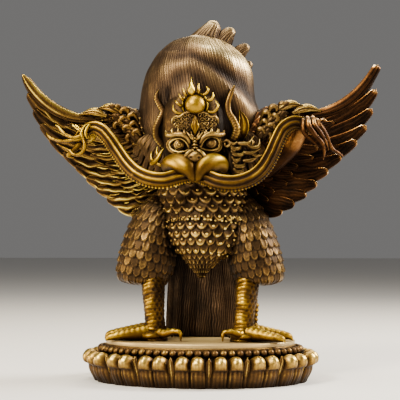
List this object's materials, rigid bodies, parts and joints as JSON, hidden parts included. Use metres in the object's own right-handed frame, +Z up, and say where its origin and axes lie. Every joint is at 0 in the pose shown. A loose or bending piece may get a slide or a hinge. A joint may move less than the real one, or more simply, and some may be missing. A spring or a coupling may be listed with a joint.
{
  "type": "garuda figure",
  "caption": "Cast brass garuda with spread wings, holding a serpent in its beak and claws, standing on an oval double-lobed lotus base with a beaded rim.",
  "frame": {"origin": "middle of the base's underside", "axes": "+Z up, the figure faces -Y, its left wing is towards +X, and +X is the long way of the oval base"},
  "size_m": [0.1966, 0.098, 0.2026],
  "materials": {
    "base_brass": "antiqued brass, bright on the lobes and beads, dark brown in the recesses",
    "figure_brass": "antiqued brass, rubbed bright on raised edges, brown patina in the recesses"
  },
  "bodies": {
    "root": {"lotus_base": "base_brass", "garuda_figure": "figure_brass"}
  },
  "joints": []
}
